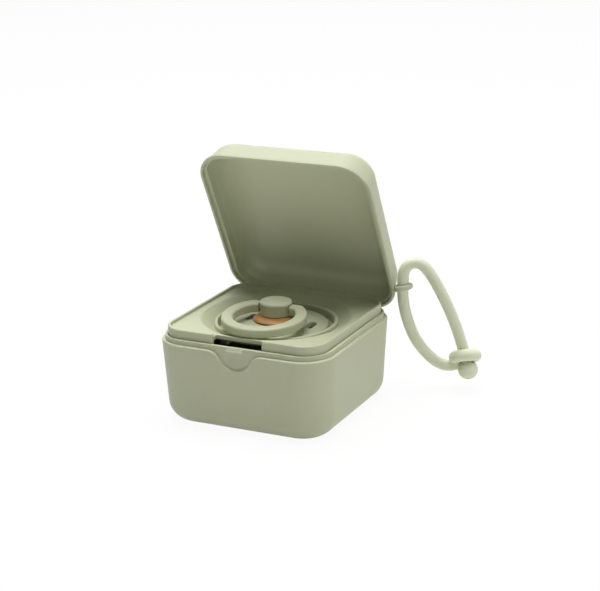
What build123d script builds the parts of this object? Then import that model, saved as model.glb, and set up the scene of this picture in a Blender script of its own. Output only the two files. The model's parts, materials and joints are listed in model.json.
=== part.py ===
from build123d import *
import math
import os

# Pacifier box, lid open, with its lift-out tray, the pacifier in the tray and the silicone strap.
# Millimetres. The origin is the centre of the flat base, +Z up, the front of the box faces -Y.

# Box shell
RIM_WIDTH = 76.0
RIM_CORNER = 13.8
BOX_HEIGHT = 34.7
BOX_DRAFT = 2.79
BASE_CORNER = 13.9
BASE_ROUND = 8.55
BOX_WALL = 2.2
FLOOR_THICKNESS = 2.4
RIM_EDGE_ROUND = 0.6

# Stepped band that the lid closes over
BAND_INSET = 1.45
BAND_HEIGHT = 1.93
BAND_WALL = 1.35

# Thumb notch and sloping latch at the front
NOTCH_DEPTH = 7.3
NOTCH_ROUND = 7.8
NOTCH_SHOULDER = 5.7
LATCH_WIDTH = 7.3
LATCH_HEIGHT = 1.8
LATCH_PROUD = 0.9
LATCH_LEDGE = 0.5
LATCH_CLEARANCE = 0.2

# Ribs inside the box that carry the tray
RIBS_BELOW_RIM = 8.7
RIB_THICKNESS = 1.6
RIB_SPACING = 36.0
RIB_REACH = 1.7

# Tray
TRAY_CLEARANCE = 0.27
TRAY_PROUD = 5.7
TRAY_CORNER = 9.45
TRAY_SKIRT = 1.3
TRAY_LIP_WIDTH = 1.1
TRAY_LIP_HEIGHT = 1.2
TRAY_PLATE = 1.5
TRAY_EDGE_ROUND = 0.45
SEAT_GAP = 0.25
DISH_RADIUS = 31.0
DISH_EDGE_ROUND = 3.0
RING_RADIUS = 25.4
RING_WALL = 1.5
RING_ABOVE_RIM = 2.9
RING_RISE = 1.6
RING_EDGE_ROUND = 0.52
SHELF_WIDTH = 5.4
SHELF_THICKNESS = 1.5
SLOT_WIDTH = 21.7
SLOT_BELOW_RIM = 3.7
SLOT_BACK = 31.4
WINDOW_ABOVE_RIM = 0.25
SLOT_EDGE_ROUND = 0.5
WINDOW_REACH = 14.0

# Lid
LID_ANGLE = 63.4
LID_GAP = 0.5
LID_OVERHANG = 0.5
LID_CORNER = 13.2
LID_HEIGHT = 15.5
LID_DRAFT = 9.8
LID_TOP_CORNER = 10.2
LID_ROUND = 8.2
LID_LIP_PROUD = 0.38
LID_LIP_HEIGHT = 1.5
LID_LIP_ROUND = 0.3
LID_WALL = 2.75
LID_INNER_CORNER = 9.2
LID_STRAIGHT = 5.4
LID_INNER_DRAFT = 13.5
LID_CEILING = 2.0
REBATE_WALL = 1.05
REBATE_DEPTH = 1.55

# Hinge
HINGE_BELOW_RIM = 0.13
HINGE_INSIDE_RIM = 0.29
KNUCKLE_RADIUS = 1.8
KNUCKLE_GAP = 0.25
LID_KNUCKLE_LENGTH = 24.0
BOX_KNUCKLE_LENGTH = 13.0
KNUCKLE_WEB = 3.5
KNUCKLE_WEB_INSIDE = 0.6
PIN_RADIUS = 1.0
PIN_RUNNING_CLEARANCE = 0.05
PIN_PRESS_CLEARANCE = 0.01
PIN_END_ROUND = 0.4
KNUCKLE_CHAMFER = 1.6

# Lug for the strap, at the lid's right side near the hinge
LUG_FROM_HINGE = 11.05
LUG_ABOVE_RIM = 2.8
LUG_OUT = 2.8
LUG_AXIS = (-0.25, -0.85, 0.47)
LUG_HOLE_RADIUS = 3.1
LUG_WALL = 1.05
LUG_LENGTH = 2.4
LUG_EDGE_ROUND = 1.0
LUG_NECK_HALF = 2.7
LUG_NECK_ROUND = 0.84
LUG_NECK_INSIDE = 1.6

# Pacifier
HEADING = 2.0
SHIELD_RADIUS = 21.7
SHIELD_THICKNESS = 2.0
CROWN_ABOVE_RIM = 3.3
SHIELD_DROP = 1.9
SHIELD_HOLE_RADIUS = 5.2
VENTS_FROM_CENTRE = (-11.2, 15.5)
VENT_LENGTH = 7.8
VENT_WIDTH = 3.1
COLLAR_RADIUS = 9.2
COLLAR_TOP_RADIUS = 6.0
COLLAR_HEIGHT = 2.0
COLLAR_MIDDLE = (8.3, 1.3)
NECK_CLEARANCE = 0.1
TEAT_WALL = 1.3
TEAT_LENGTH = 27.5
TEAT_SHAFT_RADIUS = 5.6
TEAT_BULB_RADIUS = 9.2
TEAT_GAP = 0.1
COLLAR_GAP = 0.05
COLLAR_HEM = 0.3
BULB_SHOULDER = 0.9
BULB_TURN = (0.93, 0.35)
PLUG_BORE_RADIUS = 2.1
STEM_CLEARANCE = 0.1
KNOB_HEIGHT = 6.0
KNOB_WAIST_RADIUS = 6.25
KNOB_TOP_RADIUS = 6.6
KNOB_CROWN = 0.15
KNOB_FOOT_ROUND = 0.3
KNOB_FLARE_DROP = 1.6
KNOB_EDGE = 0.7
KNOB_FLARE_MIDDLE = (0.08, 2.5)
KNOB_EDGE_MIDDLE = (0.05, 0.75)
RING_BAND = 4.8
RING_OUTER_RADIUS = 17.4
RING_THICKNESS = 3.9
RING_OFFSET = 11.6
RING_BACK = 1.9
RING_DROOP = 4.0
RING_OUTER_CORNER = 2.88
RING_INNER_CORNER = 2.64
RING_BACK_BAND = 4.32
RING_ROUND = 0.9
RING_END_GAP = 0.4
BORE_MOUTH_SHARE = 1.45
PIN_END_GAP = 0.2
PIVOT_BELOW_TOP = 3.55
PIVOT_RADIUS = 1.2
PIVOT_CLEARANCE = 0.08
PIVOT_REACH = 4.2

# Strap: the points of its route, from the eyelet's underside through the lug and over to the ball
CORD_RADIUS = 2.35
CORD_ROUTE = [
    (61.6, 49.7, 10.9),
    (59.0, 48.7, 9.8),
    (55.9, 47.3, 9.8),
    (52.8, 45.7, 11.4),
    (49.7, 44.0, 14.5),
    (47.0, 42.4, 18.3),
    (44.6, 40.9, 22.6),
    (42.8, 39.4, 28.2),
    (41.6, 37.9, 34.0),
    (41.1, 36.5, 39.8),
    (41.1, 35.8, 45.2),
    (41.4, 35.8, 50.2),
    (41.6, 35.8, 52.8),
    (42.6, 36.3, 55.0),
    (44.5, 37.2, 56.4),
    (46.7, 38.3, 56.6),
    (48.8, 39.3, 55.5),
    (50.9, 40.4, 52.7),
    (53.0, 41.6, 48.9),
    (57.2, 44.2, 39.1),
    (60.8, 46.7, 28.5),
    (63.7, 48.4, 17.3),
    (65.2, 48.1, 13.3),
]
EYELET_CENTRE = (64.2, 48.9, 14.4)
EYELET_RING_RADIUS = 4.6
EYELET_TUBE_RADIUS = 2.3
EYELET_AXIS = (-0.27, 0.38, 0.87)
BALL_CENTRE = (66.1, 47.4, 9.4)
BALL_RADIUS = 4.25

# How far a cutter reaches past what it cuts, and a height above everything
OVERCUT = 1.0
SKY = 160.0

# Places worked out from the sizes above
HALF = RIM_WIDTH / 2
BAND_HALF = HALF - BAND_INSET
CAVITY_HALF = BAND_HALF - BAND_WALL
BAND_TOP = BOX_HEIGHT + BAND_HEIGHT
BAND_CORNER = RIM_CORNER - BAND_INSET
RIB_TOP = BOX_HEIGHT - RIBS_BELOW_RIM
RING_TOP = BOX_HEIGHT + RING_ABOVE_RIM
TRAY_HALF = CAVITY_HALF - TRAY_CLEARANCE
CAVITY_CORNER = TRAY_CORNER + TRAY_CLEARANCE
TRAY_TOP = BOX_HEIGHT + TRAY_PROUD
DISH_FLOOR = TRAY_TOP - TRAY_LIP_HEIGHT
HINGE_Y = HALF - HINGE_INSIDE_RIM
HINGE_Z = BOX_HEIGHT - HINGE_BELOW_RIM
LID_RIM = BOX_HEIGHT + LID_GAP
LID_HALF = HALF + LID_OVERHANG
LUG_X = LID_HALF + LUG_OUT
LUG_Y = HINGE_Y - LUG_FROM_HINGE
LUG_Z = LID_RIM + LUG_ABOVE_RIM
SHIELD_CROWN = BOX_HEIGHT + CROWN_ABOVE_RIM
SHIELD_EDGE_ROUND = SHIELD_THICKNESS / 2
SHIELD_SEAT = SHIELD_CROWN - SHIELD_DROP - SHIELD_THICKNESS
COLLAR_BASE = SHIELD_CROWN
KNOB_BASE = COLLAR_BASE + COLLAR_HEIGHT
KNOB_TOP = KNOB_BASE + KNOB_HEIGHT
PIVOT_Z = KNOB_TOP - PIVOT_BELOW_TOP
NECK_RADIUS = SHIELD_HOLE_RADIUS - NECK_CLEARANCE
PLUG_RADIUS = NECK_RADIUS - TEAT_WALL


def slope(angle):
    """How far a drafted wall moves in for each millimetre of height."""
    return math.tan(math.radians(angle))


def squarish(half, corner, z):
    """A square face with rounded corners, lying at height z."""
    return Plane.XY.offset(z) * RectangleRounded(2 * half, 2 * half, corner)


def block(half, corner, low, high):
    """An upright block with a rounded square outline."""
    return extrude(squarish(half, corner, low), high - low)


def drafted_block(half_low, corner_low, low, half_high, corner_high, high):
    """A block whose rounded square outline changes evenly from its foot to its top."""
    ends = [squarish(half_low, corner_low, low), squarish(half_high, corner_high, high)]
    return loft(ends, ruled=True)


def edges_at(shape, z):
    """The edges that lie wholly at height z."""
    return [e for e in shape.edges() if abs(e.bounding_box().min.Z - z) < 1e-3
            and abs(e.bounding_box().max.Z - z) < 1e-3]


def along_x(radius, low, high, y, z):
    """A rod along X."""
    return Pos((low + high) / 2, y, z) * Rot(0, 90, 0) * Cylinder(radius, high - low)


def slab(low, high):
    """A box between two opposite corners."""
    size = [b - a for a, b in zip(low, high)]
    middle = [(a + b) / 2 for a, b in zip(low, high)]
    return Pos(*middle) * Box(*size)


def turned(points):
    """A solid of revolution about Z from a closed outline of (radius, height) points."""
    outline = Plane.XZ * make_face(Polyline(*points, close=True))
    return revolve(outline, Axis.Z)


def box_wall_half(z):
    """Half the outer width of the box at height z."""
    return HALF - (BOX_HEIGHT - z) * slope(BOX_DRAFT)


def box_shell():
    """The outer shell with its thumb notch and its step, open at the top."""
    outer = box_shell_outline() - thumb_notch()
    outer = fillet(rim_edges(outer), RIM_EDGE_ROUND)
    outer += block(BAND_HALF, BAND_CORNER, BOX_HEIGHT - BOX_WALL, BAND_TOP)
    hollow_half = box_wall_half(FLOOR_THICKNESS) - BOX_WALL
    knee = RIB_TOP - BOX_WALL
    hollow = drafted_block(hollow_half, BASE_CORNER - BOX_WALL, FLOOR_THICKNESS,
                           CAVITY_HALF, CAVITY_CORNER, knee)
    hollow = fillet(edges_at(hollow, FLOOR_THICKNESS), BASE_ROUND - BOX_WALL)
    hollow += block(CAVITY_HALF, CAVITY_CORNER, knee, BAND_TOP + OVERCUT)
    return outer - hollow


def on_wall(point):
    """Whether a point lies on the outer wall near the rim, and not further in."""
    core = HALF - RIM_CORNER
    reach = math.hypot(max(abs(point.X) - core, 0), max(abs(point.Y) - core, 0))
    return point.Z > BOX_HEIGHT - NOTCH_DEPTH - OVERCUT and reach > RIM_CORNER - BAND_INSET / 2


def rim_edges(outer):
    """The outer edges of the rim and of the notch, which run into each other."""
    return [e for e in outer.edges() if all(on_wall(e.position_at(share)) for share in (0, 0.5, 1))]


def thumb_notch():
    """The U-shaped recess in the outer wall under the latch, with soft shoulders."""
    bowl_z = BOX_HEIGHT - NOTCH_DEPTH + NOTCH_ROUND
    shoulder_z = BOX_HEIGHT - NOTCH_SHOULDER
    reach = NOTCH_ROUND + NOTCH_SHOULDER
    shoulder_x = math.sqrt(reach ** 2 - (bowl_z - shoulder_z) ** 2)
    share = NOTCH_ROUND / reach
    meet_x = shoulder_x * share
    meet_z = bowl_z - (bowl_z - shoulder_z) * share
    half_turn = math.atan2(shoulder_x - meet_x, meet_z - shoulder_z) / 2
    soft_x = shoulder_x - NOTCH_SHOULDER * math.sin(half_turn)
    soft_z = shoulder_z + NOTCH_SHOULDER * math.cos(half_turn)
    above = BAND_TOP + OVERCUT
    outline = [
        ThreePointArc((-shoulder_x, BOX_HEIGHT), (-soft_x, soft_z), (-meet_x, meet_z)),
        ThreePointArc((-meet_x, meet_z), (0, BOX_HEIGHT - NOTCH_DEPTH), (meet_x, meet_z)),
        ThreePointArc((meet_x, meet_z), (soft_x, soft_z), (shoulder_x, BOX_HEIGHT)),
        Polyline((shoulder_x, BOX_HEIGHT), (shoulder_x, above), (-shoulder_x, above),
                 (-shoulder_x, BOX_HEIGHT)),
    ]
    face = make_face([Plane.XZ * part for part in outline])
    return Pos(0, -BAND_HALF, 0) * extrude(face, HALF)


def latch(grow=0.0):
    """The sloping latch on the band, round at its ends, or with a clearance its pocket in the lid."""
    high = BAND_TOP - RIM_EDGE_ROUND / 4
    low = high - LATCH_HEIGHT
    inside = -CAVITY_HALF - BAND_WALL / 2
    front = -BAND_HALF - LATCH_PROUD - grow
    upright = Plane.XZ.offset(-inside) * Pos(0, (low + high) / 2)
    pill = extrude(upright * SlotOverall(LATCH_WIDTH + 2 * grow, LATCH_HEIGHT + 2 * grow), inside - front)
    side = make_face(Plane.YZ * Polyline(
        (inside, high + grow), (-BAND_HALF - grow, high + grow), (front, low + LATCH_LEDGE + grow),
        (front, low - grow), (inside, low - grow), close=True))
    return pill & extrude(side, LATCH_WIDTH, both=True)


def tray_ribs():
    """Two upright ribs on each inside wall, on which the tray stands."""
    ribs = []
    low = FLOOR_THICKNESS / 2
    for turn in range(4):
        for side in (-1, 1):
            x = side * RIB_SPACING / 2
            rib = slab((x - RIB_THICKNESS / 2, CAVITY_HALF - RIB_REACH, low),
                       (x + RIB_THICKNESS / 2, box_wall_half(RIB_TOP) - BOX_WALL / 2, RIB_TOP))
            ribs.append(Rot(0, 0, 90 * turn) * rib)
    return ribs


def knuckle_ranges():
    """The X ranges of the two box knuckles, either side of the lid's own."""
    start = LID_KNUCKLE_LENGTH / 2 + KNUCKLE_GAP
    end = start + BOX_KNUCKLE_LENGTH
    return [(-end, -start), (start, end)]


def knuckle(low, high, side):
    """A hinge barrel with a web that runs down the box (side -1) or up the lid (side 1)."""
    barrel = along_x(KNUCKLE_RADIUS, low, high, HINGE_Y, HINGE_Z)
    ends = sorted((HINGE_Z, HINGE_Z + side * KNUCKLE_WEB))
    web = slab((low, HINGE_Y - KNUCKLE_WEB_INSIDE, ends[0]), (high, HINGE_Y + KNUCKLE_RADIUS, ends[1]))
    foot = [e for e in web.edges().filter_by(Axis.X)
            if e.center().Y > HINGE_Y and abs(e.center().Z - HINGE_Z) > KNUCKLE_WEB / 2]
    return barrel + chamfer(foot, KNUCKLE_CHAMFER)


def knuckle_relief(low, high, gap=KNUCKLE_GAP):
    """The space that a barrel needs in the part it isn't moulded on."""
    return along_x(KNUCKLE_RADIUS + gap, low - KNUCKLE_GAP, high + KNUCKLE_GAP, HINGE_Y, HINGE_Z)


def box_body():
    """The lower shell with its latch, ribs and two knuckles."""
    body = box_shell() + latch()
    outside = box_shell_outline()
    for rib in tray_ribs():
        body += rib & outside
    half_lid = LID_KNUCKLE_LENGTH / 2
    body -= knuckle_relief(-half_lid, half_lid)
    for low, high in knuckle_ranges():
        body += knuckle(low, high, -1) - block(CAVITY_HALF, CAVITY_CORNER, 0, SKY)
        body -= along_x(PIN_RADIUS + PIN_PRESS_CLEARANCE, low - OVERCUT, high + OVERCUT,
                        HINGE_Y, HINGE_Z)
    return body


def box_shell_outline():
    """The box's filled outer shape, which keeps the ribs inside the wall."""
    base_half = box_wall_half(0)
    outer = drafted_block(base_half, BASE_CORNER, 0, HALF, RIM_CORNER, BOX_HEIGHT)
    return fillet(edges_at(outer, 0), BASE_ROUND)


def lid_shell():
    """The closed lid: a drafted cap with a rounded top and a lip, hollow, with a rebate at its rim."""
    top = LID_RIM + LID_HEIGHT
    wall_half = LID_HALF - LID_LIP_PROUD
    top_half = wall_half - LID_HEIGHT * slope(LID_DRAFT)
    outer = drafted_block(wall_half, LID_CORNER - LID_LIP_PROUD, LID_RIM, top_half, LID_TOP_CORNER, top)
    outer = fillet(edges_at(outer, top), LID_ROUND)
    lip_top = LID_RIM + LID_LIP_HEIGHT
    lip = block(LID_HALF, LID_CORNER, LID_RIM, lip_top)
    lip = fillet(edges_at(lip, LID_RIM) + edges_at(lip, lip_top), LID_LIP_ROUND)
    rebate_half = LID_HALF - REBATE_WALL
    rebate_top = LID_RIM + REBATE_DEPTH
    rebate = block(rebate_half, LID_CORNER - REBATE_WALL, LID_RIM - OVERCUT, rebate_top)
    return outer + lip - lid_hollow() - rebate


def lid_hollow():
    """The space inside the lid: upright beside the tray, then drawn in to a round-edged ceiling."""
    inner_half = LID_HALF - LID_WALL
    knee = LID_RIM + LID_STRAIGHT
    ceiling = LID_RIM + LID_HEIGHT - LID_CEILING
    inner_high = inner_half - (ceiling - knee) * slope(LID_INNER_DRAFT)
    straight = block(inner_half, LID_INNER_CORNER, LID_RIM - OVERCUT, knee)
    drawn = drafted_block(inner_half, LID_INNER_CORNER, knee, inner_high, LID_INNER_CORNER, ceiling)
    drawn = fillet(edges_at(drawn, ceiling), LID_ROUND - LID_CEILING)
    return straight + drawn


def strap_lug():
    """The ring on the lid's right side that the strap runs through, on a neck that meets the wall."""
    ring_radius = LUG_HOLE_RADIUS + LUG_WALL
    ring = Cylinder(ring_radius, LUG_LENGTH)
    ring = fillet(ring.edges().filter_by(GeomType.CIRCLE), LUG_EDGE_ROUND)
    root = LID_HALF - LUG_X - LUG_NECK_INSIDE
    neck = slab((root, -LUG_NECK_HALF, -LUG_LENGTH / 2),
                (-LUG_HOLE_RADIUS / 2, LUG_NECK_HALF, LUG_LENGTH / 2))
    neck = fillet(neck.edges().filter_by(Axis.X), LUG_NECK_ROUND)
    hole = Cylinder(LUG_HOLE_RADIUS, LUG_LENGTH + 2 * OVERCUT)
    place = Plane(origin=(LUG_X, LUG_Y, LUG_Z), x_dir=(1, 0, 0), z_dir=LUG_AXIS)
    return place * (ring + neck - hole)


def lid():
    """The lid as moulded, then opened to the angle at which it stands."""
    cap = lid_shell() - latch(LATCH_CLEARANCE)
    for low, high in knuckle_ranges():
        cap -= knuckle_relief(low, high, 2 * KNUCKLE_GAP)
    half_lid = LID_KNUCKLE_LENGTH / 2
    cap += knuckle(-half_lid, half_lid, 1)
    cap -= along_x(PIN_RADIUS + PIN_RUNNING_CLEARANCE, -half_lid - OVERCUT, half_lid + OVERCUT,
                   HINGE_Y, HINGE_Z)
    cap += strap_lug()
    axis = Axis((0, HINGE_Y, HINGE_Z), (-1, 0, 0))
    return cap.rotate(axis, LID_ANGLE)


def hinge_pin():
    """The pin through all three knuckles, with rounded ends."""
    end = knuckle_ranges()[1][1]
    pin = along_x(PIN_RADIUS, -end, end, HINGE_Y, HINGE_Z)
    return fillet(pin.edges().filter_by(GeomType.CIRCLE), PIN_END_ROUND)


def tray_cup():
    """The turned middle of the tray: sloping dish, raised ring, cup wall and the shelf for the shield."""
    inner = RING_RADIUS - RING_WALL
    foot = RING_TOP - RING_RISE
    shelf = SHIELD_SEAT - SEAT_GAP
    under = DISH_FLOOR - TRAY_PLATE
    root = DISH_RADIUS + TRAY_PLATE / 4
    return turned([
        (inner, RING_TOP), (RING_RADIUS, RING_TOP), (RING_RADIUS, foot), (DISH_RADIUS, DISH_FLOOR),
        (root, DISH_FLOOR), (root, under), (DISH_RADIUS, under), (RING_RADIUS, foot - TRAY_PLATE),
        (RING_RADIUS, shelf - SHELF_THICKNESS), (inner - SHELF_WIDTH, shelf - SHELF_THICKNESS),
        (inner - SHELF_WIDTH, shelf), (inner, shelf),
    ])


def tray():
    """The lift-out insert."""
    skirt_foot = RIB_TOP + SEAT_GAP
    body = block(TRAY_HALF, TRAY_CORNER, skirt_foot, TRAY_TOP)
    body = fillet(edges_at(body, TRAY_TOP), TRAY_EDGE_ROUND)
    body -= block(TRAY_HALF - TRAY_SKIRT, TRAY_CORNER - TRAY_SKIRT, skirt_foot - OVERCUT,
                  DISH_FLOOR - TRAY_PLATE)
    body -= block(TRAY_HALF - TRAY_LIP_WIDTH, TRAY_CORNER - TRAY_LIP_WIDTH, DISH_FLOOR, SKY)
    body -= Cylinder(DISH_RADIUS, SKY)
    cup = tray_cup()
    crest = [e for e in cup.edges().filter_by(GeomType.CIRCLE) if abs(e.center().Z - RING_TOP) < 1e-3]
    cup = fillet(crest, RING_EDGE_ROUND)
    body += cup
    brink = [e for e in body.edges().filter_by(GeomType.CIRCLE)
             if abs(e.center().Z - DISH_FLOOR) < 1e-3 and abs(e.radius - DISH_RADIUS) < 1e-3]
    body = fillet(brink, DISH_EDGE_ROUND)
    slot = slab((-SLOT_WIDTH / 2, -HALF, BOX_HEIGHT - SLOT_BELOW_RIM), (SLOT_WIDTH / 2, -SLOT_BACK, SKY))
    window = slab((-SLOT_WIDTH / 2, -HALF + BOX_WALL + TRAY_SKIRT, BOX_HEIGHT - SLOT_BELOW_RIM),
                  (SLOT_WIDTH / 2, -WINDOW_REACH, BOX_HEIGHT + WINDOW_ABOVE_RIM))
    body -= slot + window
    corners = [e for e in body.edges().filter_by(Axis.Z) if e.center().Y < -TRAY_HALF + TRAY_SKIRT / 2]
    return fillet(corners, SLOT_EDGE_ROUND)


def heading(shape):
    """Turn a piece of the pacifier to the way it lies in the tray."""
    return Rot(0, 0, HEADING) * shape


def shield_height(radius):
    """Height of the shield's outer face at a distance from its centre."""
    return SHIELD_CROWN - SHIELD_DROP * (radius / (SHIELD_RADIUS - SHIELD_EDGE_ROUND)) ** 2


def pacifier_shield():
    """The domed shield with its centre hole and two vents."""
    edge = SHIELD_RADIUS - SHIELD_EDGE_ROUND
    middle = (edge + SHIELD_HOLE_RADIUS) / 2
    low = SHIELD_THICKNESS

    def face_arc(drop):
        ends = [(r, shield_height(r) - drop) for r in (SHIELD_HOLE_RADIUS, middle, edge)]
        return ThreePointArc(*ends)

    outline = [
        face_arc(0),
        ThreePointArc((edge, shield_height(edge)), (SHIELD_RADIUS, shield_height(edge) - low / 2),
                      (edge, shield_height(edge) - low)),
        face_arc(low),
        Line((SHIELD_HOLE_RADIUS, shield_height(SHIELD_HOLE_RADIUS)),
             (SHIELD_HOLE_RADIUS, shield_height(SHIELD_HOLE_RADIUS) - low)),
    ]
    face = make_face([Plane.XZ * part for part in outline])
    shield = revolve(face, Axis.Z)
    vent = extrude(Plane.XY * SlotOverall(VENT_LENGTH, VENT_WIDTH, rotation=90), SKY)
    for x in VENTS_FROM_CENTRE:
        shield -= Pos(x, 0, 0) * vent
    return heading(shield)


def shield_underside():
    """Height of the shield's inner face at the centre hole."""
    return shield_height(SHIELD_HOLE_RADIUS) - SHIELD_THICKNESS


def bulb_profile(radius, middle, shaft, shaft_end, tip):
    """The round end of the teat from its shaft down to the tip, as two arcs."""
    turn_out, turn_up = BULB_TURN
    low = radius * math.sqrt(0.5)
    return [
        ThreePointArc((shaft, shaft_end), (radius * turn_out, middle + TEAT_BULB_RADIUS * turn_up),
                      (radius, middle)),
        ThreePointArc((radius, middle), (low, middle - low), (0, tip)),
    ]


def pacifier_teat():
    """The hollow latex teat: collar above the shield, neck through it, shaft and round bulb below."""
    top = KNOB_BASE - COLLAR_GAP
    base = COLLAR_BASE + COLLAR_GAP
    flange = shield_underside() - TEAT_GAP
    flange_radius = TEAT_SHAFT_RADIUS + TEAT_WALL
    tip = flange - TEAT_LENGTH
    bulb = tip + TEAT_BULB_RADIUS
    shaft_end = bulb + TEAT_BULB_RADIUS * BULB_SHOULDER
    bore = PLUG_RADIUS + COLLAR_GAP
    inner_shaft = TEAT_SHAFT_RADIUS - TEAT_WALL
    dome_out, dome_up = COLLAR_MIDDLE
    outline = [
        Line((bore, top), (COLLAR_TOP_RADIUS, top)),
        ThreePointArc((COLLAR_TOP_RADIUS, top), (dome_out, base + dome_up),
                      (COLLAR_RADIUS, base + COLLAR_HEM)),
        Polyline((COLLAR_RADIUS, base + COLLAR_HEM), (COLLAR_RADIUS - COLLAR_HEM, base),
                 (NECK_RADIUS, base), (NECK_RADIUS, flange),
                 (flange_radius, flange), (flange_radius, flange - TEAT_WALL),
                 (TEAT_SHAFT_RADIUS, flange - 2 * TEAT_WALL), (TEAT_SHAFT_RADIUS, shaft_end)),
        *bulb_profile(TEAT_BULB_RADIUS, bulb, TEAT_SHAFT_RADIUS, shaft_end, tip),
        Line((0, tip), (0, tip + TEAT_WALL)),
        *bulb_profile(TEAT_BULB_RADIUS - TEAT_WALL, bulb, inner_shaft, shaft_end, tip + TEAT_WALL),
        Polyline((inner_shaft, shaft_end), (inner_shaft, flange - 2 * TEAT_WALL),
                 (bore, flange - TEAT_WALL), (bore, top)),
    ]
    face = make_face([Plane.XZ * part for part in outline])
    return heading(revolve(face, Axis.Z))


def pacifier_plug():
    """The sleeve inside the teat's neck, which the knob's stem fills."""
    top = KNOB_BASE - COLLAR_GAP
    foot = shield_underside() - TEAT_WALL
    return heading(turned([
        (PLUG_BORE_RADIUS, top), (PLUG_RADIUS, top), (PLUG_RADIUS, foot), (PLUG_BORE_RADIUS, foot),
    ]))


def knob_profile(foot):
    """The knob's closed outline of (radius, height), from the stem's foot round to the axis."""
    stem = PLUG_BORE_RADIUS - STEM_CLEARANCE
    waist = KNOB_WAIST_RADIUS
    foot_round = KNOB_FOOT_ROUND
    foot_arc = foot_round * (1 - math.sqrt(0.5))
    flare = KNOB_TOP - KNOB_FLARE_DROP
    flare_out, flare_up = KNOB_FLARE_MIDDLE
    edge_in, edge_down = KNOB_EDGE_MIDDLE
    crown_edge = KNOB_TOP_RADIUS - KNOB_EDGE
    crown_radius = (crown_edge ** 2 + KNOB_CROWN ** 2) / (2 * KNOB_CROWN)
    crown_middle = KNOB_TOP - crown_radius + math.sqrt(crown_radius ** 2 - (crown_edge / 2) ** 2)
    return [
        Polyline((0, foot), (stem, foot), (stem, KNOB_BASE), (waist - foot_round, KNOB_BASE)),
        ThreePointArc((waist - foot_round, KNOB_BASE), (waist - foot_arc, KNOB_BASE + foot_arc),
                      (waist, KNOB_BASE + foot_round)),
        ThreePointArc((waist, KNOB_BASE + foot_round), (waist + flare_out, KNOB_BASE + flare_up),
                      (KNOB_TOP_RADIUS, flare)),
        ThreePointArc((KNOB_TOP_RADIUS, flare), (KNOB_TOP_RADIUS - edge_in, KNOB_TOP - edge_down),
                      (crown_edge, KNOB_TOP - KNOB_CROWN)),
        ThreePointArc((crown_edge, KNOB_TOP - KNOB_CROWN), (crown_edge / 2, crown_middle), (0, KNOB_TOP)),
        Line((0, KNOB_TOP), (0, foot)),
    ]


def pacifier_knob():
    """The flared knob with its stem and the two blind bores for the ring's pins."""
    outline = knob_profile(shield_underside() - TEAT_WALL)
    knob = revolve(make_face([Plane.XZ * part for part in outline]), Axis.Z)
    bore = PIVOT_RADIUS + PIVOT_CLEARANCE
    inner_end = KNOB_TOP_RADIUS - PIVOT_REACH
    outside = KNOB_TOP_RADIUS + OVERCUT
    mouth = KNOB_WAIST_RADIUS + PIVOT_CLEARANCE
    for side in (-1, 1):
        for radius, start in ((bore, inner_end), (bore * BORE_MOUTH_SHARE, mouth)):
            low, high = sorted((side * start, side * outside))
            knob -= along_x(radius, low, high, 0, PIVOT_Z)
    return heading(knob)


def ring_outline(radius, back, corner):
    """A disc set forward by the ring's offset, cut straight at the back, its two corners rounded."""
    disc = Pos(0, -RING_OFFSET) * Circle(radius)
    disc -= Pos(0, back + RING_OUTER_RADIUS) * Rectangle(4 * RING_OUTER_RADIUS, 2 * RING_OUTER_RADIUS)
    return fillet(disc.vertices(), corner)


def pacifier_ring():
    """The flat ring: a D outline with a band of even width, cut at the knob, with two stub pins."""
    inner_back = RING_BACK - RING_BACK_BAND
    outer = ring_outline(RING_OUTER_RADIUS, RING_BACK, RING_OUTER_CORNER)
    inner = ring_outline(RING_OUTER_RADIUS - RING_BAND, inner_back, RING_INNER_CORNER)
    flat = extrude(outer - inner, RING_THICKNESS / 2, both=True)
    flat = soften(flat, RING_THICKNESS / 2, RING_ROUND)
    ends = KNOB_TOP_RADIUS + RING_END_GAP
    flat -= slab((-ends, inner_back - OVERCUT, -RING_THICKNESS),
                 (ends, RING_BACK + OVERCUT, RING_THICKNESS))
    reach = KNOB_TOP_RADIUS - PIVOT_REACH + PIN_END_GAP
    for side in (-1, 1):
        low, high = sorted((side * reach, side * (ends + OVERCUT)))
        flat += along_x(PIVOT_RADIUS, low, high, 0, 0)
    return heading(Pos(0, 0, PIVOT_Z) * Rot(RING_DROOP, 0, 0) * flat)


def soften(shape, z, radius):
    """Round the edges of both flat faces of a plate that is centred on height 0."""
    rims = edges_at(shape, z) + edges_at(shape, -z)
    return fillet(rims, radius)


def corner_radii(points):
    """As large an arc at each inner point of the route as its two runs allow."""
    radii = []
    for a, b, c in zip(points, points[1:], points[2:]):
        before, after = Vector(*b) - Vector(*a), Vector(*c) - Vector(*b)
        half_turn = math.radians(before.get_angle(after)) / 2
        radii.append(0.45 * min(before.length, after.length) / math.tan(half_turn))
    return radii


def strap_cord():
    """The strap's round cord: straight runs joined by tangent arcs."""
    radii = corner_radii(CORD_ROUTE)
    print("strap radii", [round(r, 1) for r in radii])
    path = FilletPolyline(*CORD_ROUTE, radius=radii)
    start = Plane(origin=path @ 0, z_dir=path % 0)
    cord = sweep(start * Circle(CORD_RADIUS), path=path)
    expected = math.pi * CORD_RADIUS ** 2 * path.length
    print("strap length", round(path.length, 2), "volume", round(cord.volume, 2),
          "expected", round(expected, 2))
    return cord


def strap_eyelet():
    """The ring that the ball end is pushed through, tipped so that its near side is higher."""
    plane = Plane(origin=EYELET_CENTRE, z_dir=EYELET_AXIS)
    return plane * Torus(EYELET_RING_RADIUS, EYELET_TUBE_RADIUS)


def strap_ball():
    """The ball that stops the strap in the eyelet."""
    return Pos(*BALL_CENTRE) * Sphere(BALL_RADIUS)


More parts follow.
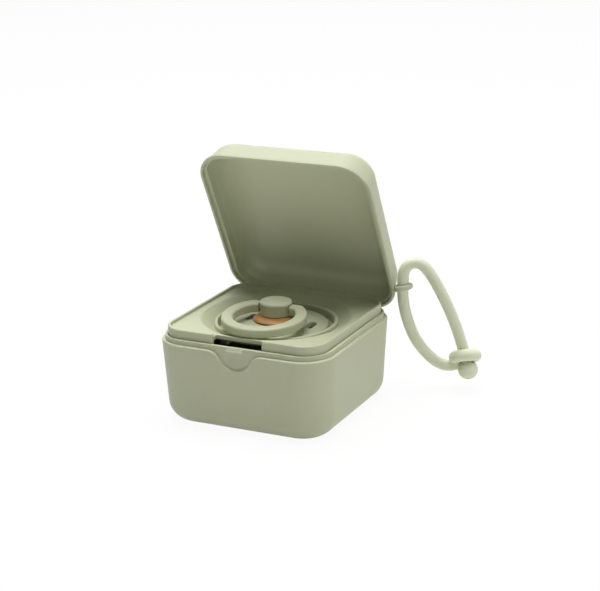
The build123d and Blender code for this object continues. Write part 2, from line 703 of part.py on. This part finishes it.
PIECES = [
    box_body,
    lid,
    hinge_pin,
    tray,
    strap_cord,
    strap_eyelet,
    strap_ball,
    pacifier_shield,
    pacifier_teat,
    pacifier_plug,
    pacifier_knob,
    pacifier_ring,
]

os.makedirs("parts", exist_ok=True)
for piece in PIECES:
    solid = piece()
    export_step(solid, f"parts/{piece.__name__}.step")
    box = solid.bounding_box()
    print(piece.__name__, len(solid.solids()), round(solid.volume, 1),
          [round(v, 2) for v in (*box.min, *box.max)])
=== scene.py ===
"""A pacifier box with its lid open, its tray, pacifier and carrying strap: finishes, light and camera."""

import json
import logging
import math
from dataclasses import dataclass, field
from enum import Enum
from typing import Any

import bpy
from mathutils import Matrix, Vector

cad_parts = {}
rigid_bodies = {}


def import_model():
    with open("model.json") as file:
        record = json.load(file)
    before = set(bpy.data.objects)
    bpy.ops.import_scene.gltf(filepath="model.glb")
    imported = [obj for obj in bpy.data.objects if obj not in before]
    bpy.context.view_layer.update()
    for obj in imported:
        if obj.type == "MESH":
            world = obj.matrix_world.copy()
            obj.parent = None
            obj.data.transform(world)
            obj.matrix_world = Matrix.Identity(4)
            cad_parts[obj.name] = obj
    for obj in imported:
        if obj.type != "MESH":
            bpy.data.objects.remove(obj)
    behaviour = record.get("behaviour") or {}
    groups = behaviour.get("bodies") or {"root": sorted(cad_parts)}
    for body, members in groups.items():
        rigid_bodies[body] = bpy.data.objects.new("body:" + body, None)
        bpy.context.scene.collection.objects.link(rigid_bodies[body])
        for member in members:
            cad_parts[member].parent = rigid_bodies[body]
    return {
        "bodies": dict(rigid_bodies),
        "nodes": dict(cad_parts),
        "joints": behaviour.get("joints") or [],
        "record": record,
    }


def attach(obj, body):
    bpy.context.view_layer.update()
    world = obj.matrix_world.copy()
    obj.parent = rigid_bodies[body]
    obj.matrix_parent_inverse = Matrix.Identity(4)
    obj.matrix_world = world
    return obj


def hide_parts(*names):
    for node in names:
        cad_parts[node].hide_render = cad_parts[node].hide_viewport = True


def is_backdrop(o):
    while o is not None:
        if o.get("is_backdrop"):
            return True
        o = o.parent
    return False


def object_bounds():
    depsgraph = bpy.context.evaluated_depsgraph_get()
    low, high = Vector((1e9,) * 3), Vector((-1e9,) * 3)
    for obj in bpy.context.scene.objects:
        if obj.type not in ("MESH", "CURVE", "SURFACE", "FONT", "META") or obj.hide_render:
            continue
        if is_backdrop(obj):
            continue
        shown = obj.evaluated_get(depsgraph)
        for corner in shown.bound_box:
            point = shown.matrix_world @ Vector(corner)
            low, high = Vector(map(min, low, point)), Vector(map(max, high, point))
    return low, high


LOG = logging.getLogger("pacifier_box")
MM = 0.001
WHITE = "#FFFFFF"


class Slot(Enum):
    """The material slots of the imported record."""

    BOX = "box_plastic"
    PACIFIER = "pacifier_plastic"
    LATEX = "latex"
    STRAP = "strap_silicone"


def linear(hex_colour: str, alpha: float = 1.0) -> tuple[float, float, float, float]:
    """Turn a colour written as sRGB hex into the linear values that Blender works in.

    Args:
        hex_colour: Six hex digits, with or without a leading #.
        alpha: The fourth value of the result.

    Returns:
        Linear red, green, blue and alpha.
    """
    digits = hex_colour.lstrip("#")
    shares = [int(digits[i : i + 2], 16) / 255 for i in (0, 2, 4)]
    low, knee, lift, power = 12.92, 0.04045, 0.055, 2.4
    red, green, blue = (s / low if s <= knee else ((s + lift) / (1 + lift)) ** power for s in shares)
    return red, green, blue, alpha


def add_node(
    tree: bpy.types.NodeTree, kind: str, inputs: dict[Any, Any] | None = None, **settings: Any
) -> Any:
    """Add one node to a tree, with its settings and what goes into it.

    Args:
        tree: The shader or geometry tree.
        kind: The node's type name.
        inputs: What each input gets, by its name or number: a socket to link from, or a value.
        settings: Properties of the node itself.

    Returns:
        The new node.
    """
    node = tree.nodes.new(kind)
    for key, value in settings.items():
        setattr(node, key, value)
    for key, value in (inputs or {}).items():
        if isinstance(value, bpy.types.NodeSocket):
            tree.links.new(value, node.inputs[key])
        else:
            node.inputs[key].default_value = value
    return node


@dataclass(frozen=True)
class Finish:
    """A moulded polymer's finish: body colour, a slow colour drift, a fine moulded grain and its gloss."""

    name: str
    colour: str
    drift_colour: str
    roughness: float
    roughness_spread: float
    ior: float
    grain_mm: float
    grain_depth_mm: float
    drift_mm: float = 18.0
    specular: float = 0.35
    subsurface: float = 0.0
    subsurface_mm: float = 1.0
    scatter: tuple[float, float, float] = (1.0, 1.0, 1.0)

    def build(self) -> bpy.types.Material:
        """Make the material.

        Returns:
            The node material.
        """
        material = bpy.data.materials.new(self.name)
        material.use_nodes = True
        tree = material.node_tree
        tree.nodes.clear()
        place = add_node(tree, "ShaderNodeTexCoord").outputs["Object"]
        drift = add_node(
            tree,
            "ShaderNodeTexNoise",
            {"Vector": place, "Scale": 1 / (self.drift_mm * MM), "Detail": 2.0, "Roughness": 0.5},
        )
        colour = add_node(
            tree,
            "ShaderNodeMix",
            {0: drift.outputs["Fac"], 6: linear(self.colour), 7: linear(self.drift_colour)},
            data_type="RGBA",
        )
        grain = add_node(
            tree,
            "ShaderNodeTexNoise",
            {"Vector": place, "Scale": 1 / (self.grain_mm * MM), "Detail": 3.0, "Roughness": 0.6},
        )
        gloss = add_node(
            tree,
            "ShaderNodeMapRange",
            {
                "Value": grain.outputs["Fac"],
                "From Min": 0.3,
                "From Max": 0.7,
                "To Min": self.roughness - self.roughness_spread,
                "To Max": self.roughness + self.roughness_spread,
            },
        )
        bump = add_node(
            tree,
            "ShaderNodeBump",
            {"Height": grain.outputs["Fac"], "Distance": self.grain_depth_mm * MM, "Strength": 1.0},
        )
        shader = add_node(
            tree,
            "ShaderNodeBsdfPrincipled",
            {
                "Base Color": colour.outputs[2],
                "Roughness": gloss.outputs["Result"],
                "Normal": bump.outputs["Normal"],
                "IOR": self.ior,
                "Specular IOR Level": self.specular,
                "Subsurface Weight": self.subsurface,
                "Subsurface Radius": self.scatter,
                "Subsurface Scale": self.subsurface_mm * MM,
            },
        )
        add_node(tree, "ShaderNodeOutputMaterial", {"Surface": shader.outputs["BSDF"]})
        return material


# Injection-moulded polypropylene from a spark-eroded mould: a satin face with a fine grain.
BOX_PLASTIC = Finish(
    name="Moulded_Polypropylene_Box",
    colour="#BCC0A2",
    drift_colour="#BFC3A6",
    roughness=0.42,
    roughness_spread=0.04,
    ior=1.49,
    grain_mm=0.25,
    grain_depth_mm=0.006,
)
# The same polypropylene from a smoother mould: a slightly tighter gloss on the parts near the mouth.
PACIFIER_PLASTIC = Finish(
    name="Moulded_Polypropylene_Pacifier",
    colour="#B9BD9F",
    drift_colour="#BCC0A3",
    roughness=0.38,
    roughness_spread=0.04,
    ior=1.49,
    grain_mm=0.22,
    grain_depth_mm=0.004,
)
# Dipped natural latex: amber, lets light in a few millimetres, smooth with a soft gloss.
LATEX = Finish(
    name="Dipped_Natural_Latex",
    colour="#BC8A50",
    drift_colour="#B27D44",
    roughness=0.36,
    roughness_spread=0.05,
    ior=1.52,
    grain_mm=0.6,
    grain_depth_mm=0.01,
    drift_mm=6.0,
    subsurface=0.35,
    subsurface_mm=1.6,
    scatter=(1.0, 0.45, 0.15),
)
# Moulded silicone rubber: matt, with a slight depth.
SILICONE = Finish(
    name="Moulded_Silicone_Strap",
    colour="#E0E4CA",
    drift_colour="#DCE0C6",
    roughness=0.55,
    roughness_spread=0.05,
    ior=1.41,
    grain_mm=0.3,
    grain_depth_mm=0.006,
    subsurface=0.15,
    subsurface_mm=0.8,
    scatter=(1.0, 1.0, 0.8),
)


@dataclass
class Finishes:
    """The materials, each made once."""

    made: dict[str, bpy.types.Material] = field(default_factory=dict)

    def material(self, finish: Finish) -> bpy.types.Material:
        """The material of a finish, made when it is first asked for.

        Args:
            finish: The finish.

        Returns:
            Its material.
        """
        if finish.name not in self.made:
            self.made[finish.name] = finish.build()
        return self.made[finish.name]

    def dress(self, piece: bpy.types.Object, finish: Finish) -> bpy.types.Object:
        """Give a piece a finish.

        Args:
            piece: A mesh or curve object.
            finish: What it is made of.

        Returns:
            The piece.
        """
        materials = piece.data.materials
        if len(materials):
            for index in range(len(materials)):
                materials[index] = self.material(finish)
        else:
            materials.append(self.material(finish))
        return piece


# The turns, in degrees from its upper pole, at which a bead's outline is cut.
BEAD_TURNS = tuple(range(0, 181, 6))
# A flared root ends a little inside the cord's own skin.
ROOT_END_SHARE = 0.97
# Points that a short path is divided into, and the faces round a swept tube.
PATH_STEPS = 16
TUBE_SIDES = 48
# The density at which a fused skin is drawn, and the radius at which a bead closes at its poles.
SKIN_DENSITY = 0.1
POLE_RADIUS_MM = 0.02


def taper(wide: float, narrow: float, count: int) -> list[float]:
    """Radii that fall from wide to narrow, fast at first and then flat.

    Args:
        wide: The first radius.
        narrow: The last radius.
        count: How many radii.

    Returns:
        The radii.
    """
    return [narrow + (wide - narrow) * (1 - step / (count - 1)) ** 2 for step in range(count)]


def circle_points(
    centre: tuple[float, float, float], axis: tuple[float, float, float], radius: float
) -> list[Any]:
    """Points round a circle.

    Args:
        centre: Its middle.
        axis: What it turns about.
        radius: Its radius.

    Returns:
        The points.
    """
    normal = Vector(axis).normalized()
    side = normal.orthogonal().normalized()
    over = normal.cross(side)
    turns = [2 * math.pi * step / TUBE_SIDES for step in range(TUBE_SIDES)]
    return [tuple(Vector(centre) + radius * (math.cos(t) * side + math.sin(t) * over)) for t in turns]


def smooth_path(points: list[tuple[float, float, float]]) -> list[tuple[float, float, float]]:
    """A quadratic curve from the first of three points towards the second, ending half way to the third.

    Args:
        points: Three points.

    Returns:
        Points along the curve.
    """
    first, bend, last = (Vector(p) for p in points)
    last = bend.lerp(last, 0.5)
    shares = [step / (PATH_STEPS - 1) for step in range(PATH_STEPS)]
    return [tuple(first.lerp(bend, s).lerp(bend.lerp(last, s), s)) for s in shares]


class Sweep:
    """Tubes of changing radius swept along paths by Geometry Nodes, fused and softened where they meet."""

    RADIUS = "tube_radius"

    def __init__(
        self, name: str, material: bpy.types.Material, voxel_mm: float = 0.0, steps: int = 0
    ) -> None:
        """Start with no paths.

        Args:
            name: The name of the tree and of the paths' mesh.
            material: What Set Material gives the result.
            voxel_mm: The fineness at which the tubes are fused, or nought to leave them apart.
            steps: How many times the fused skin is softened.
        """
        self.name = name
        self.material = material
        self.voxel_mm = voxel_mm
        self.steps = steps
        self.points: list[Any] = []
        self.radii: list[float] = []
        self.edges: list[tuple[int, int]] = []

    def add_path(self, points: list[Any], radii: list[float], closed: bool = False) -> None:
        """Add a path.

        Args:
            points: Where it runs, in millimetres.
            radii: The tube's radius at each point.
            closed: Whether its last point joins its first.
        """
        first = len(self.points)
        self.points += points
        self.radii += radii
        self.edges += [(first + i, first + i + 1) for i in range(len(points) - 1)]
        if closed:
            self.edges.append((len(self.points) - 1, first))

    def tree(self) -> bpy.types.NodeTree:
        """The tree: paths to curves, curves to tubes, tubes fused to one skin and softened.

        Returns:
            The geometry node tree.
        """
        tree = bpy.data.node_groups.new(self.name, "GeometryNodeTree")
        sockets = tree.interface
        sockets.new_socket("Paths", in_out="INPUT", socket_type="NodeSocketGeometry")
        sockets.new_socket("Sides", in_out="INPUT", socket_type="NodeSocketInt")
        sockets.new_socket("Voxel", in_out="INPUT", socket_type="NodeSocketFloat")
        sockets.new_socket("Softening", in_out="INPUT", socket_type="NodeSocketInt")
        sockets.new_socket("Finish", in_out="INPUT", socket_type="NodeSocketMaterial")
        sockets.new_socket("Skin", in_out="OUTPUT", socket_type="NodeSocketGeometry")
        given = add_node(tree, "NodeGroupInput").outputs
        radius = add_node(
            tree, "GeometryNodeInputNamedAttribute", {"Name": self.RADIUS}, data_type="FLOAT"
        )
        curves = add_node(tree, "GeometryNodeMeshToCurve", {"Mesh": given["Paths"]})
        profile = add_node(
            tree,
            "GeometryNodeCurvePrimitiveCircle",
            {"Resolution": given["Sides"], "Radius": 1.0},
            mode="RADIUS",
        )
        tubes = add_node(
            tree,
            "GeometryNodeCurveToMesh",
            {
                "Curve": curves.outputs["Curve"],
                "Profile Curve": profile.outputs["Curve"],
                "Scale": radius.outputs["Attribute"],
                "Fill Caps": True,
            },
        )
        skin = tubes.outputs["Mesh"]
        if self.voxel_mm:
            skin = self.fused(tree, skin, given)
        smooth = add_node(tree, "GeometryNodeSetShadeSmooth", {"Geometry": skin})
        real = add_node(tree, "GeometryNodeRealizeInstances", {"Geometry": smooth.outputs["Geometry"]})
        dressed = add_node(
            tree,
            "GeometryNodeSetMaterial",
            {"Geometry": real.outputs["Geometry"], "Material": given["Finish"]},
        )
        add_node(tree, "NodeGroupOutput", {"Skin": dressed.outputs["Geometry"]})
        return tree

    @staticmethod
    def fused(tree: bpy.types.NodeTree, skin: bpy.types.NodeSocket, given: Any) -> bpy.types.NodeSocket:
        """Fuse the tubes through a volume, and soften the skin so that they grow into each other.

        Args:
            tree: The geometry node tree.
            skin: The tubes.
            given: The tree's inputs.

        Returns:
            The fused skin.
        """
        volume = add_node(
            tree,
            "GeometryNodeMeshToVolume",
            {"Mesh": skin, "Voxel Size": given["Voxel"]},
            resolution_mode="VOXEL_SIZE",
        )
        shell = add_node(
            tree,
            "GeometryNodeVolumeToMesh",
            {"Volume": volume.outputs["Volume"], "Voxel Size": given["Voxel"], "Threshold": SKIN_DENSITY},
            resolution_mode="VOXEL_SIZE",
        )
        place = add_node(tree, "GeometryNodeInputPosition")
        blurred = add_node(
            tree,
            "GeometryNodeBlurAttribute",
            {"Value": place.outputs["Position"], "Iterations": given["Softening"]},
            data_type="FLOAT_VECTOR",
        )
        moved = add_node(
            tree,
            "GeometryNodeSetPosition",
            {"Geometry": shell.outputs["Mesh"], "Position": blurred.outputs["Value"]},
        )
        return moved.outputs["Geometry"]

    def build(self, name: str) -> bpy.types.Object:
        """Run the tree and keep its result as a plain mesh.

        Args:
            name: The name of the piece.

        Returns:
            The mesh object.
        """
        mesh = bpy.data.meshes.new(self.name)
        mesh.from_pydata([tuple(v * MM for v in p) for p in self.points], self.edges, [])
        radius = mesh.attributes.new(self.RADIUS, "FLOAT", "POINT")
        radius.data.foreach_set("value", [r * MM for r in self.radii])
        source = bpy.data.objects.new(self.name, mesh)
        bpy.context.scene.collection.objects.link(source)
        modifier = source.modifiers.new(self.name, "NODES")
        modifier.node_group = self.tree()
        values = {
            "Sides": TUBE_SIDES,
            "Voxel": self.voxel_mm * MM,
            "Softening": self.steps,
            "Finish": self.material,
        }
        for item in modifier.node_group.interface.items_tree:
            if item.in_out == "INPUT" and item.name in values:
                modifier[item.identifier] = values[item.name]
        graph = bpy.context.evaluated_depsgraph_get()
        baked = bpy.data.meshes.new_from_object(source.evaluated_get(graph), depsgraph=graph)
        source.modifiers.remove(modifier)
        bpy.data.objects.remove(source)
        baked.name = name
        piece = bpy.data.objects.new(name, baked)
        bpy.context.scene.collection.objects.link(piece)
        return piece


@dataclass
class Shell:
    """The box, its lid, pin and tray, as the part gives them."""

    nodes: tuple[str, ...] = ("box_body", "lid", "hinge_pin", "tray")

    def build(self, frame: dict[str, Any], finishes: Finishes) -> list[bpy.types.Object]:
        """Dress the nodes.

        Args:
            finishes: The materials.

        Returns:
            The dressed nodes.
        """
        return [finishes.dress(frame["nodes"][name], BOX_PLASTIC) for name in self.nodes]


@dataclass
class Pacifier:
    """The pacifier's moulded pieces: shield, plug, knob and ring."""

    nodes: tuple[str, ...] = ("pacifier_shield", "pacifier_plug", "pacifier_knob", "pacifier_ring")

    def build(self, frame: dict[str, Any], finishes: Finishes) -> list[bpy.types.Object]:
        """Dress the nodes.

        Args:
            finishes: The materials.

        Returns:
            The dressed nodes.
        """
        pieces = [frame["nodes"][name] for name in self.nodes]
        return [finishes.dress(piece, PACIFIER_PLASTIC) for piece in pieces]


@dataclass
class Teat:
    """The dipped latex teat, turned about the pacifier's axis."""

    body: str = "pacifier"
    node: str = "pacifier_teat"
    collar_mm: tuple[tuple[float, float], ...] = (
        (5.6, 39.96),
        (5.9, 39.9),
        (6.3, 39.78),
        (7.2, 39.56),
        (8.1, 39.22),
        (8.9, 38.76),
        (9.35, 38.42),
        (9.45, 38.2),
        (9.35, 38.08),
        (8.9, 38.02),
    )
    neck_mm: tuple[tuple[float, float], ...] = (
        (5.3, 37.99),
        (5.1, 37.9),
        (5.1, 35.8),
        (5.3, 35.72),
        (6.6, 35.68),
        (6.86, 35.5),
        (6.9, 35.2),
        (6.84, 34.7),
        (6.3, 33.7),
        (5.75, 33.1),
    )
    shaft_mm: tuple[tuple[float, float], ...] = (
        (5.6, 32.4),
        (5.6, 30.0),
        (5.62, 27.8),
        (5.8, 26.2),
        (6.5, 24.6),
    )
    bulb_mm: float = 9.2
    tip_mm: float = 8.28
    bulb_turns: tuple[int, ...] = (*range(62, 159, 8), 165, 171, 176, 179)

    def outline(self) -> list[tuple[float, float]]:
        """The outline from the collar's top over neck, flange and shaft down to the bulb's tip.

        Returns:
            Pairs of radius and height, in millimetres.
        """
        middle = self.tip_mm + self.bulb_mm
        turns = [math.radians(turn) for turn in self.bulb_turns]
        bulb = [
            (self.bulb_mm * math.sin(turn), middle + self.bulb_mm * math.cos(turn)) for turn in turns
        ]
        return [*self.collar_mm, *self.neck_mm, *self.shaft_mm, *bulb]

    def build(self, frame: dict[str, Any], finishes: Finishes) -> list[bpy.types.Object]:
        """Turn the teat and dress it.

        Args:
            finishes: The materials.

        Returns:
            The teat.
        """
        turned = Sweep("teat_outline", finishes.material(LATEX))
        outline = self.outline()
        turned.add_path([(0.0, 0.0, height) for _, height in outline], [radius for radius, _ in outline])
        piece = finishes.dress(turned.build("pacifier_teat_soft"), LATEX)
        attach(piece, self.body)
        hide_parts(self.node)
        return [piece]


@dataclass
class Strap:
    """The round silicone strap: its cord, the eyelet and the ball that is pushed through it."""

    radius_mm: float = 2.35
    length_mm: float = 112.5
    body: str = "strap"
    route_mm: tuple[tuple[float, float, float], ...] = (
        (61.6, 49.7, 10.9),
        (59.0, 48.7, 9.8),
        (55.9, 47.3, 9.8),
        (52.8, 45.7, 11.4),
        (49.7, 44.0, 14.5),
        (47.0, 42.4, 18.3),
        (44.6, 40.9, 22.6),
        (42.8, 39.4, 28.2),
        (41.6, 37.9, 34.0),
        (41.1, 36.5, 39.8),
        (41.1, 35.8, 45.2),
        (41.4, 35.8, 50.2),
        (41.6, 35.8, 52.8),
        (42.6, 36.3, 55.0),
        (44.5, 37.2, 56.4),
        (46.7, 38.3, 56.6),
        (48.8, 39.3, 55.5),
        (50.9, 40.4, 52.7),
        (53.0, 41.6, 48.9),
        (57.2, 44.2, 39.1),
        (60.8, 46.7, 28.5),
        (63.7, 48.4, 17.3),
        (65.2, 48.1, 13.3),
    )
    eyelet_centre_mm: tuple[float, float, float] = (64.2, 48.9, 14.4)
    eyelet_axis: tuple[float, float, float] = (-0.27, 0.38, 0.87)
    eyelet_ring_mm: float = 4.3
    eyelet_tube_mm: float = 2.95
    ball_centre_mm: tuple[float, float, float] = (66.1, 47.4, 9.4)
    ball_mm: float = 4.6
    root_flare: float = 1.25
    blend_voxel_mm: float = 0.3
    blend_steps: int = 8
    bevel_resolution: int = 12
    run_resolution: int = 16

    def cord(self) -> bpy.types.Object:
        """The cord as a bevelled NURBS curve along the route.

        Returns:
            The curve object.
        """
        data = bpy.data.curves.new("strap_cord_soft", "CURVE")
        data.dimensions = "3D"
        data.bevel_depth = self.radius_mm * MM
        data.bevel_resolution = self.bevel_resolution
        data.resolution_u = self.run_resolution
        data.use_fill_caps = True
        spline = data.splines.new("NURBS")
        spline.points.add(len(self.route_mm) - 1)
        for point, place in zip(spline.points, self.route_mm):
            point.co = (*(value * MM for value in place), 1.0)
        spline.order_u = 3
        spline.use_endpoint_u = True
        piece = bpy.data.objects.new("strap_cord_soft", data)
        bpy.context.scene.collection.objects.link(piece)
        return piece

    def eyelet(self, material: bpy.types.Material) -> bpy.types.Object:
        """The eyelet with the flared root that the cord's first run grows out of.

        Args:
            material: The silicone.

        Returns:
            The mesh object.
        """
        loop = Sweep("eyelet_loop", material, self.blend_voxel_mm, self.blend_steps)
        ring = circle_points(self.eyelet_centre_mm, self.eyelet_axis, self.eyelet_ring_mm)
        root = smooth_path([self.eyelet_entry(), self.route_mm[0], self.route_mm[1]])
        wide, narrow = self.radius_mm * self.root_flare, self.radius_mm * ROOT_END_SHARE
        loop.add_path(ring, [self.eyelet_tube_mm] * len(ring), closed=True)
        loop.add_path(root, taper(wide, narrow, len(root)))
        return loop.build("strap_eyelet_soft")

    def eyelet_entry(self) -> tuple[float, float, float]:
        """Where the cord's first run meets the middle of the eyelet's tube.

        Returns:
            The point, in millimetres.
        """
        centre = Vector(self.eyelet_centre_mm)
        axis = Vector(self.eyelet_axis).normalized()
        out = Vector(self.route_mm[0]) - centre
        out -= axis * out.dot(axis)
        return tuple(centre + out.normalized() * self.eyelet_ring_mm)

    def ball(self, material: bpy.types.Material) -> bpy.types.Object:
        """The ball with the flared neck that the cord's last run grows out of.

        Args:
            material: The silicone.

        Returns:
            The mesh object.
        """
        bead = Sweep("ball_bead", material, self.blend_voxel_mm, self.blend_steps)
        centre = Vector(self.ball_centre_mm)
        neck = [self.ball_centre_mm, self.route_mm[-1], self.route_mm[-2]]
        upward = (Vector(neck[1]) - centre).normalized()
        poles = [centre + upward * self.ball_mm * math.cos(math.radians(turn)) for turn in BEAD_TURNS]
        radii = [max(self.ball_mm * math.sin(math.radians(turn)), POLE_RADIUS_MM) for turn in BEAD_TURNS]
        bead.add_path([tuple(p) for p in poles], radii)
        path = smooth_path(neck)
        wide, narrow = self.radius_mm * self.root_flare, self.radius_mm * ROOT_END_SHARE
        bead.add_path(path, taper(wide, narrow, len(path)))
        return bead.build("strap_ball_soft")

    def build(self, frame: dict[str, Any], finishes: Finishes) -> list[bpy.types.Object]:
        """Make the cord and its two ends.

        Args:
            finishes: The materials.

        Returns:
            The strap's pieces.
        """
        cord = finishes.dress(self.cord(), SILICONE)
        silicone = finishes.material(SILICONE)
        ends = []
        fittings = ((self.eyelet(silicone), "strap_eyelet"), (self.ball(silicone), "strap_ball"))
        for piece, node in fittings:
            finishes.dress(piece, SILICONE)
            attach(piece, self.body)
            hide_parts(node)
            ends.append(piece)
        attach(cord, self.body)
        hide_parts("strap_cord")
        return [cord, *ends]


def sight(azimuth: float, elevation: float) -> Vector:
    """The direction from the object to a camera or lamp.

    Args:
        azimuth: Degrees round the object, 0 in front of it and 90 to its right.
        elevation: Degrees above the floor.

    Returns:
        A unit vector.
    """
    turn, rise = math.radians(azimuth), math.radians(elevation)
    return Vector((math.sin(turn) * math.cos(rise), -math.cos(turn) * math.cos(rise), math.sin(rise)))


def facing(place: Vector, back: Vector, roll: float = 0.0) -> Matrix:
    """The pose of a camera or lamp that looks along -back, upright but for its roll.

    Args:
        place: Where it stands.
        back: The unit direction from what it looks at to it.
        roll: Degrees that its right side is turned up.

    Returns:
        The world matrix.
    """
    side = Vector((0, 0, 1)).cross(back)
    side = side.normalized() if side.length > 1e-6 else Vector((1, 0, 0))
    over = back.cross(side)
    turn = math.radians(roll)
    right = math.cos(turn) * side + math.sin(turn) * over
    upward = math.cos(turn) * over - math.sin(turn) * side
    return Matrix.Translation(place) @ Matrix((right, upward, back)).transposed().to_4x4()


@dataclass
class PhotoCamera:
    """The camera at the photograph's angle."""

    azimuth: float = 26.87
    elevation: float = 17.75
    roll: float = -1.29
    distance_mm: float = 692.4
    target_mm: tuple[float, float, float] = (0.0, 0.0, 42.75)
    lens: float = 101.6
    sensor: float = 36.0
    shift_x: float = 0.0401
    shift_y: float = 0.0197
    near: float = 0.01
    far: float = 20.0

    def build(self) -> bpy.types.Object:
        """Make the camera and the scene's view settings.

        Returns:
            The camera object.
        """
        data = bpy.data.cameras.new("photo_camera")
        data.lens = self.lens
        data.sensor_width = self.sensor
        data.sensor_fit = "HORIZONTAL"
        data.shift_x = self.shift_x
        data.shift_y = self.shift_y
        data.clip_start = self.near
        data.clip_end = self.far
        camera = bpy.data.objects.new("photo_camera", data)
        back = sight(self.azimuth, self.elevation)
        place = Vector(self.target_mm) * MM + back * self.distance_mm * MM
        camera.matrix_world = facing(place, back, self.roll)
        bpy.context.scene.collection.objects.link(camera)
        bpy.context.scene.camera = camera
        bpy.context.scene.view_settings.view_transform = "Standard"
        return camera


@dataclass(frozen=True)
class Lamp:
    """A soft square lamp. Its level is the share of full white that it gives a surface facing it."""

    name: str
    azimuth: float
    elevation: float
    distance: float
    size: float
    level: float

    def build(self, target: Vector) -> bpy.types.Object:
        """Make the lamp.

        Args:
            target: What it points at.

        Returns:
            The lamp object.
        """
        data = bpy.data.lights.new(self.name, "AREA")
        data.shape = "SQUARE"
        data.size = self.size
        data.energy = self.level * math.pi**2 * self.distance**2
        lamp = bpy.data.objects.new(self.name, data)
        back = sight(self.azimuth, self.elevation)
        lamp.matrix_world = facing(target + back * self.distance, back)
        bpy.context.scene.collection.objects.link(lamp)
        return lamp


@dataclass
class Studio:
    """White background, pale floor and soft lamps at a plain level."""

    floor_half: float = 3.0
    fill: float = 0.02
    floor_bounce: str = "#F0F0EC"
    floor_paint: str = "#F4F4F2"
    shadow_share: float = 0.06
    target: tuple[float, float, float] = (0.0, 0.0, 0.04)
    lamps: tuple[Lamp, ...] = (
        Lamp("overhead", azimuth=180.0, elevation=86.0, distance=1.5, size=1.1, level=1.15),
        Lamp("right_front", azimuth=40.0, elevation=12.0, distance=1.5, size=1.1, level=0.12),
        Lamp("right_side", azimuth=108.0, elevation=28.0, distance=1.5, size=1.1, level=0.19),
        Lamp("back_left", azimuth=225.0, elevation=50.0, distance=1.5, size=1.1, level=0.25),
    )

    @staticmethod
    def seen(tree: bpy.types.NodeTree) -> bpy.types.NodeSocket:
        """One where a ray comes from the camera, a reflection or through glass, and else nought.

        Args:
            tree: The shader tree.

        Returns:
            The output socket.
        """
        rays = add_node(tree, "ShaderNodeLightPath")
        either = add_node(
            tree,
            "ShaderNodeMath",
            {0: rays.outputs["Is Camera Ray"], 1: rays.outputs["Is Glossy Ray"]},
            operation="MAXIMUM",
        )
        any_of = add_node(
            tree,
            "ShaderNodeMath",
            {0: either.outputs[0], 1: rays.outputs["Is Transmission Ray"]},
            operation="MAXIMUM",
        )
        return any_of.outputs[0]

    def world(self) -> None:
        """White where it is seen, a plain grey fill on the object."""
        world = bpy.data.worlds.new("studio_world")
        world.use_nodes = True
        tree = world.node_tree
        tree.nodes.clear()
        fill = add_node(tree, "ShaderNodeBackground", {"Color": linear(WHITE), "Strength": self.fill})
        white = add_node(tree, "ShaderNodeBackground", {"Color": linear(WHITE), "Strength": 1.0})
        mixed = add_node(
            tree,
            "ShaderNodeMixShader",
            {0: self.seen(tree), 1: fill.outputs[0], 2: white.outputs[0]},
        )
        add_node(tree, "ShaderNodeOutputWorld", {"Surface": mixed.outputs[0]})
        bpy.context.scene.world = world

    def floor(self) -> bpy.types.Object:
        """The floor: near white to the camera, still with the object's shadow.

        Returns:
            The floor object.
        """
        mesh = bpy.data.meshes.new("floor")
        half = self.floor_half
        corners = [(-half, -half, 0), (half, -half, 0), (half, half, 0), (-half, half, 0)]
        mesh.from_pydata(corners, [], [(0, 1, 2, 3)])
        material = bpy.data.materials.new("Painted_Studio_Floor")
        material.use_nodes = True
        tree = material.node_tree
        tree.nodes.clear()
        glow = add_node(tree, "ShaderNodeEmission", {"Color": linear(WHITE), "Strength": 1.0})
        paint = add_node(tree, "ShaderNodeBsdfDiffuse", {"Color": linear(self.floor_paint)})
        bounce = add_node(tree, "ShaderNodeBsdfDiffuse", {"Color": linear(self.floor_bounce)})
        shown = add_node(
            tree,
            "ShaderNodeMixShader",
            {0: self.shadow_share, 1: glow.outputs[0], 2: paint.outputs[0]},
        )
        mixed = add_node(
            tree,
            "ShaderNodeMixShader",
            {0: self.seen(tree), 1: bounce.outputs[0], 2: shown.outputs[0]},
        )
        add_node(tree, "ShaderNodeOutputMaterial", {"Surface": mixed.outputs[0]})
        mesh.materials.append(material)
        floor = bpy.data.objects.new("floor", mesh)
        bpy.context.scene.collection.objects.link(floor)
        floor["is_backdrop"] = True
        return floor

    def build(self) -> None:
        """Make the world, the floor and the lamps."""
        self.world()
        self.floor()
        for lamp in self.lamps:
            lamp.build(Vector(self.target))


def box_numbers(box: Any) -> Any:
    """Turn a box of vectors into plain lists of numbers.


    Returns:
        The same as lists.
    """
    if hasattr(box, "__len__") and not isinstance(box, (str, dict)):
        return [box_numbers(value) for value in box]
    if isinstance(box, dict):
        return {key: box_numbers(value) for key, value in box.items()}
    return float(box)


def main() -> None:
    """Load the part, build every sub-assembly in order, and report each piece."""
    logging.basicConfig(level=logging.INFO, format="%(message)s")
    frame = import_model()
    cad_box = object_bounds()
    PhotoCamera().build()
    Studio().build()
    finishes = Finishes()
    for assembly in (Strap(), Shell(), Pacifier(), Teat()):
        for piece in assembly.build(frame, finishes):
            LOG.info("%s: %s", type(assembly).__name__, piece.name)
    sizes = {"cad": box_numbers(cad_box), "visual": box_numbers(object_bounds())}


if __name__ == "__main__":
    main()
